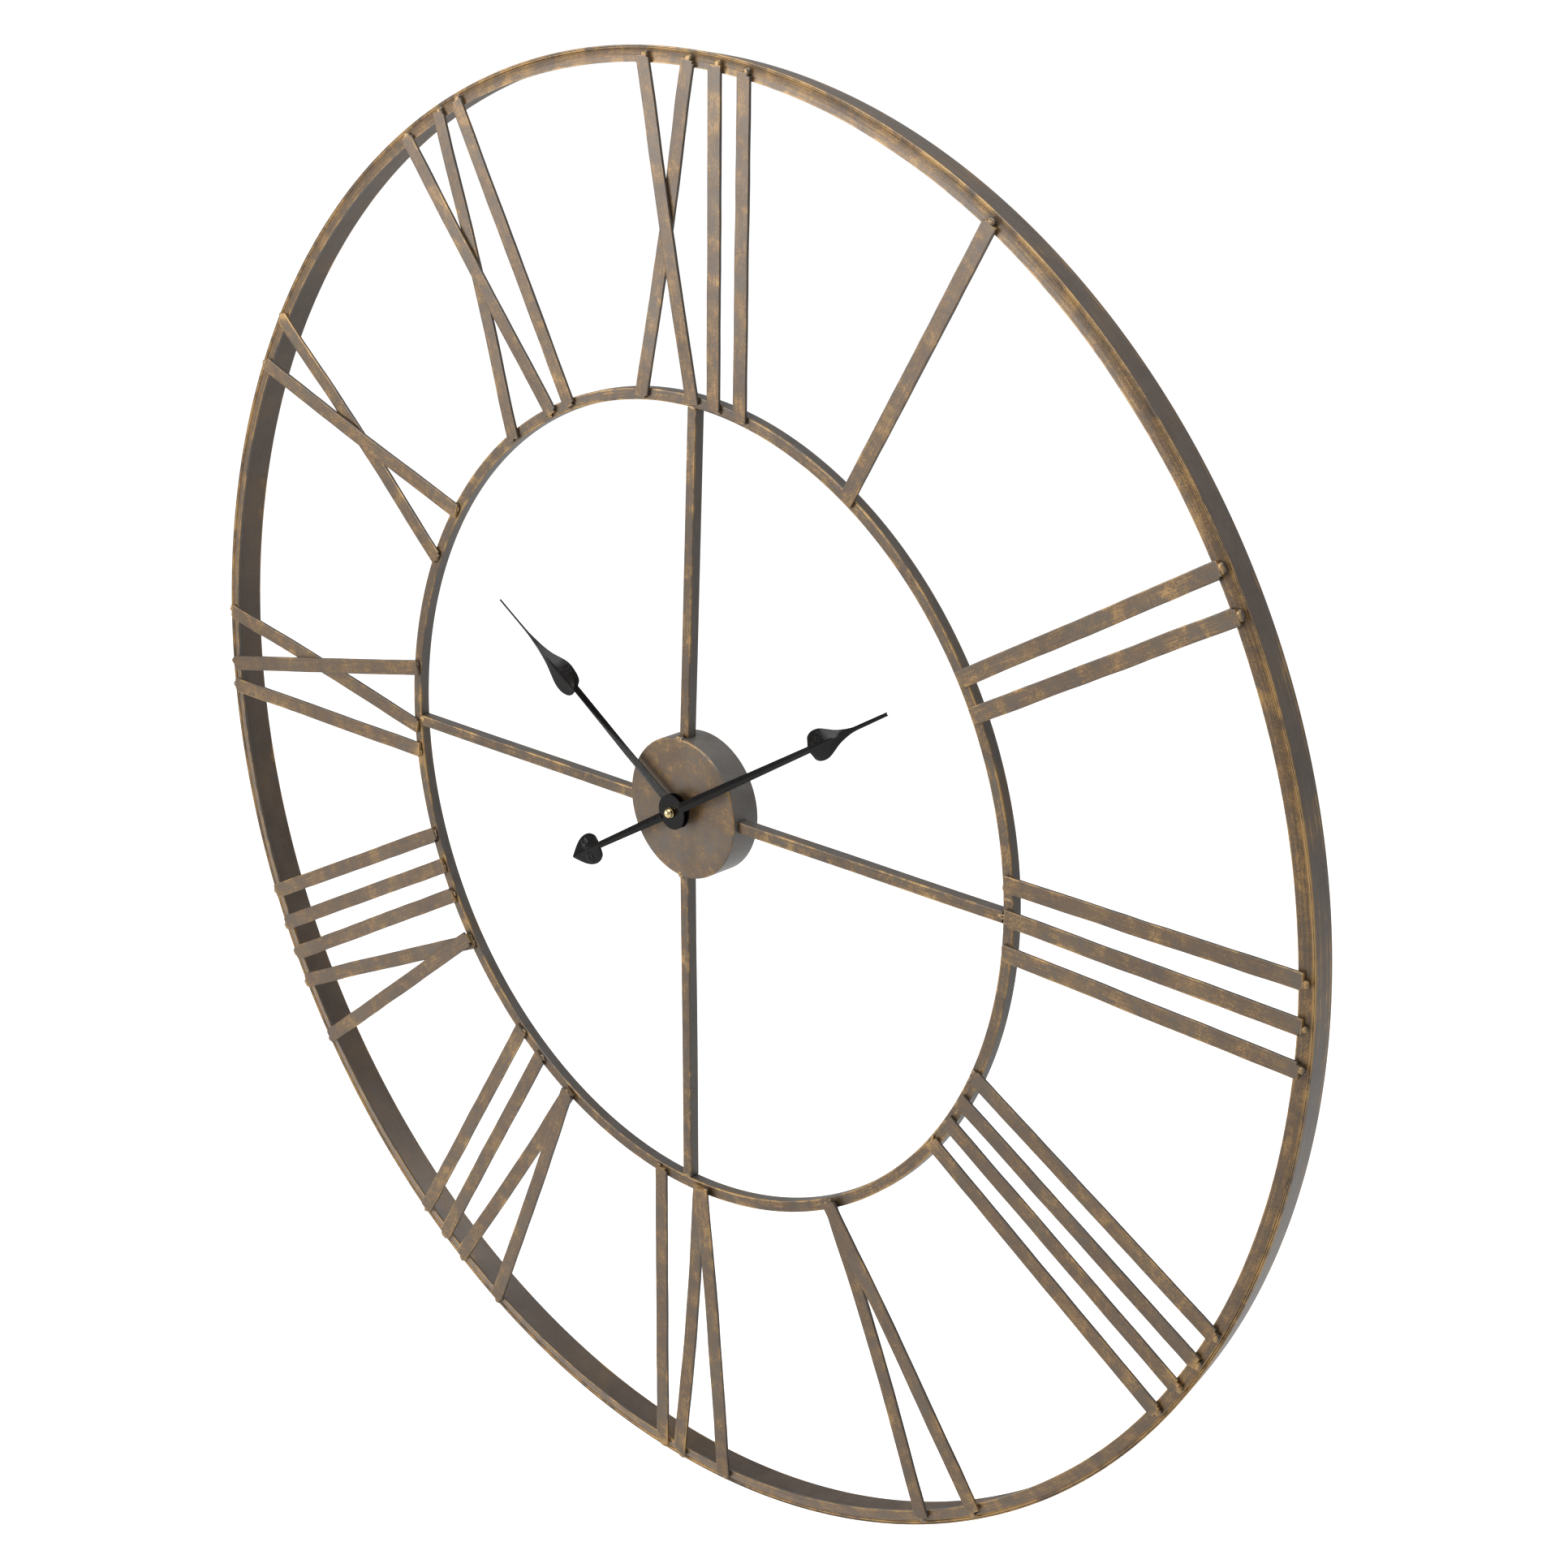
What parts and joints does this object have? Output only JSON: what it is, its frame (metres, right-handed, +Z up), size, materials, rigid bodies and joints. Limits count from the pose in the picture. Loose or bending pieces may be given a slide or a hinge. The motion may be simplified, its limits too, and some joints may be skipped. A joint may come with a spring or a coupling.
{
  "type": "skeleton wall clock",
  "caption": "Open round wall clock in bronzed iron: two rings, strip-metal Roman numerals, four spokes, a hub with a battery movement and two spade hands.",
  "frame": {"origin": "on the shaft axis, half way between the cap nut on the shaft and the wall plane", "axes": "+Z up to twelve o'clock, +X to three o'clock, +Y along the shaft toward the wall; the clock faces -Y"},
  "size_m": [0.997, 0.041, 0.997],
  "materials": {
    "bronzed_iron": "antique bronze, brushed, edges rubbed to gold",
    "black_gloss_metal": "gloss black",
    "brass": "polished",
    "black_plastic": "matt moulded",
    "white_plastic": "natural acetal",
    "battery_wrap": "printed sleeve, no lettering",
    "copper_wire": "enamelled copper winding",
    "rotor_steel": "plain"
  },
  "bodies": {
    "frame": {"outer_band": "bronzed_iron", "outer_flange": "bronzed_iron", "inner_ring": "bronzed_iron", "spoke_top": "bronzed_iron", "spoke_right": "bronzed_iron", "spoke_bottom": "bronzed_iron", "spoke_left": "bronzed_iron", "hub_drum": "bronzed_iron", "hanger_strap": "bronzed_iron", "numeral_12_x_over": "bronzed_iron", "numeral_12_x_under": "bronzed_iron", "numeral_12_i_left": "bronzed_iron", "numeral_12_i_right": "bronzed_iron", "numeral_1_i": "bronzed_iron", "numeral_2_i_upper": "bronzed_iron", "numeral_2_i_lower": "bronzed_iron", "numeral_3_i_upper": "bronzed_iron", "numeral_3_i_middle": "bronzed_iron", "numeral_3_i_lower": "bronzed_iron", "numeral_4_i_first": "bronzed_iron", "numeral_4_i_second": "bronzed_iron", "numeral_4_i_third": "bronzed_iron", "numeral_4_i_fourth": "bronzed_iron", "numeral_5_v_over": "bronzed_iron", "numeral_5_v_under": "bronzed_iron", "numeral_6_v_over": "bronzed_iron", "numeral_6_v_under": "bronzed_iron", "numeral_6_i": "bronzed_iron", "numeral_7_v_over": "bronzed_iron", "numeral_7_v_under": "bronzed_iron", "numeral_7_i_inner": "bronzed_iron", "numeral_7_i_outer": "bronzed_iron", "numeral_8_v_over": "bronzed_iron", "numeral_8_v_under": "bronzed_iron", "numeral_8_i_first": "bronzed_iron", "numeral_8_i_second": "bronzed_iron", "numeral_8_i_third": "bronzed_iron", "numeral_9_i": "bronzed_iron", "numeral_9_x_over": "bronzed_iron", "numeral_9_x_under": "bronzed_iron", "numeral_10_x_over": "bronzed_iron", "numeral_10_x_under": "bronzed_iron", "numeral_11_x_over": "bronzed_iron", "numeral_11_x_under": "bronzed_iron", "numeral_11_i": "bronzed_iron", "movement_case": "black_plastic", "case_cover": "black_plastic", "mounting_nut": "brass", "battery": "battery_wrap", "coil": "copper_wire"},
    "minute": {"centre_wheel": "white_plastic", "minute_hand": "black_gloss_metal", "minute_nut": "brass"},
    "hour": {"hour_wheel": "brass", "hour_hand": "black_gloss_metal"},
    "motion": {"motion_wheel": "white_plastic"},
    "third": {"third_wheel": "white_plastic"},
    "rotor": {"rotor": "rotor_steel"},
    "knob": {"setting_knob": "black_plastic"}
  },
  "joints": [
    {"name": "minute_turn", "type": "hinge", "parent": "frame", "child": "minute", "pos_m": [0, 0, 0], "axis": [0, 1, 0], "continuous": true},
    {"name": "hour_turn", "type": "hinge", "parent": "frame", "child": "hour", "pos_m": [0, 0, 0], "axis": [0, 1, 0], "continuous": true},
    {"name": "motion_turn", "type": "hinge", "parent": "frame", "child": "motion", "pos_m": [-0.008, 0, 0], "axis": [0, 1, 0], "continuous": true},
    {"name": "third_turn", "type": "hinge", "parent": "frame", "child": "third", "pos_m": [0.0063, 0, 0.01091], "axis": [0, 1, 0], "continuous": true},
    {"name": "rotor_turn", "type": "hinge", "parent": "frame", "child": "rotor", "pos_m": [0.0182, 0, 0.01091], "axis": [0, 1, 0], "continuous": true},
    {"name": "knob_turn", "type": "hinge", "parent": "frame", "child": "knob", "pos_m": [-0.01366, 0, 0.00566], "axis": [0, 1, 0], "continuous": true}
  ],
  "couplings": [
    {"joint": "hour_turn", "follows": "minute_turn", "ratio": 0.083333},
    {"joint": "motion_turn", "follows": "minute_turn", "ratio": -0.33333},
    {"joint": "third_turn", "follows": "minute_turn", "ratio": -8},
    {"joint": "rotor_turn", "follows": "minute_turn", "ratio": 60},
    {"joint": "knob_turn", "follows": "minute_turn", "ratio": 1}
  ]
}
